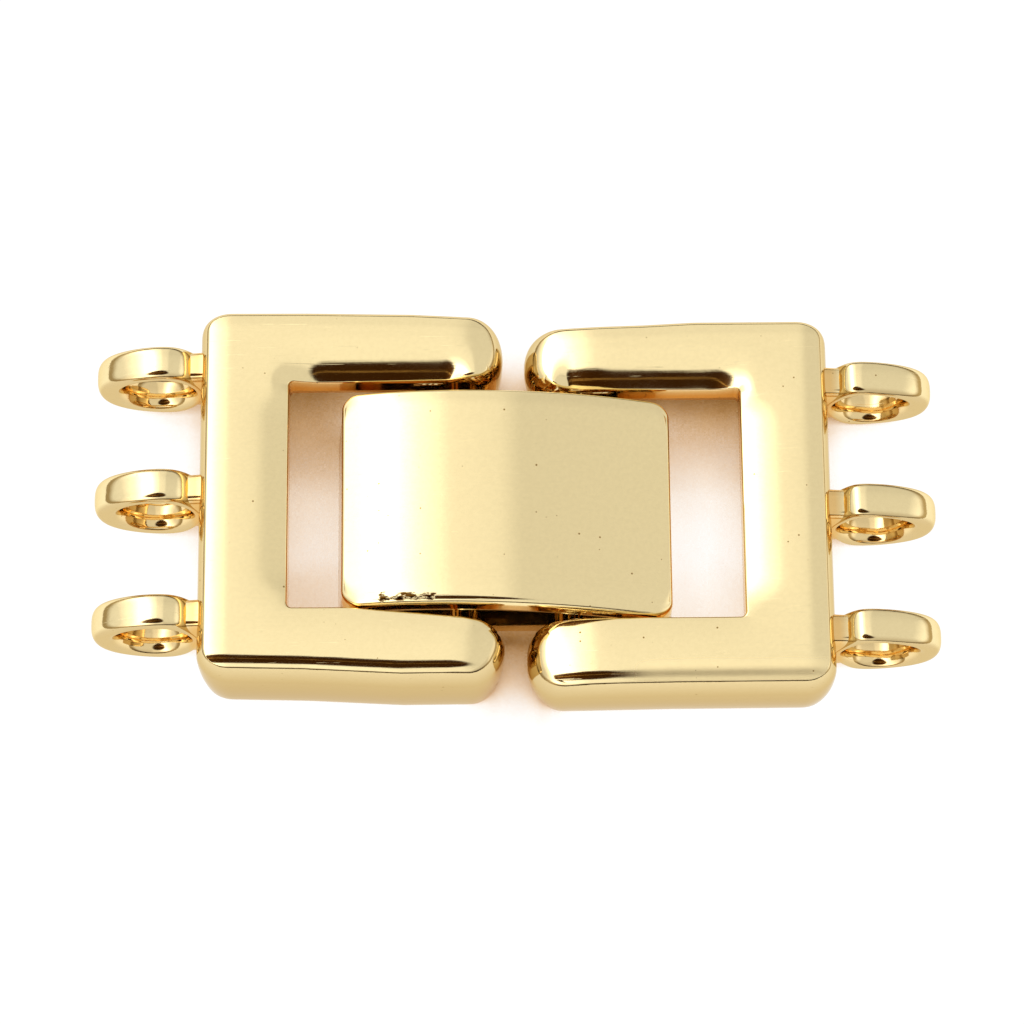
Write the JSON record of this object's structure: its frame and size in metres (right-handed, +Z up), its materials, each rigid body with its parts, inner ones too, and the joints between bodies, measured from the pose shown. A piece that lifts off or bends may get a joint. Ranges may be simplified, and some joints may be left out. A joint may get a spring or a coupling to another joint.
{
  "type": "fold over clasp",
  "caption": "Gold-plated fold over clasp: open frames with strand loops on their outer walls, joined by a hinged clip whose arched cover snaps shut over their bars.",
  "frame": {"origin": "on the surface that the clasp lies on, under the gap between the two frames", "axes": "+X from the latch side to the hinge side, along the strands; +Y across the strands; +Z up, out of the cover"},
  "size_m": [0.0324, 0.0148, 0.005],
  "materials": {
    "gold_plate": "polished"
  },
  "bodies": {
    "clip": {"clip_base": "gold_plate", "hinge_pin": "gold_plate"},
    "cover": {"clip_cover": "gold_plate"},
    "left_half": {"left_frame": "gold_plate", "left_loops": "gold_plate", "left_bar": "gold_plate"},
    "right_half": {"right_frame": "gold_plate", "right_loops": "gold_plate", "right_bar": "gold_plate"}
  },
  "joints": [
    {"name": "cover_hinge", "type": "hinge", "parent": "clip", "child": "cover", "pos_m": [0.0048, 0, 0.00155], "axis": [0, 1, 0], "range_deg": [0, 80]},
    {"name": "left_frame_pivot", "type": "hinge", "parent": "clip", "child": "left_half", "pos_m": [-0.002, 0, 0.0014], "axis": [0, -1, 0], "range_deg": [-10, 30]},
    {"name": "right_frame_pivot", "type": "hinge", "parent": "clip", "child": "right_half", "pos_m": [0.002, 0, 0.0014], "axis": [0, 1, 0], "range_deg": [-10, 30]}
  ]
}
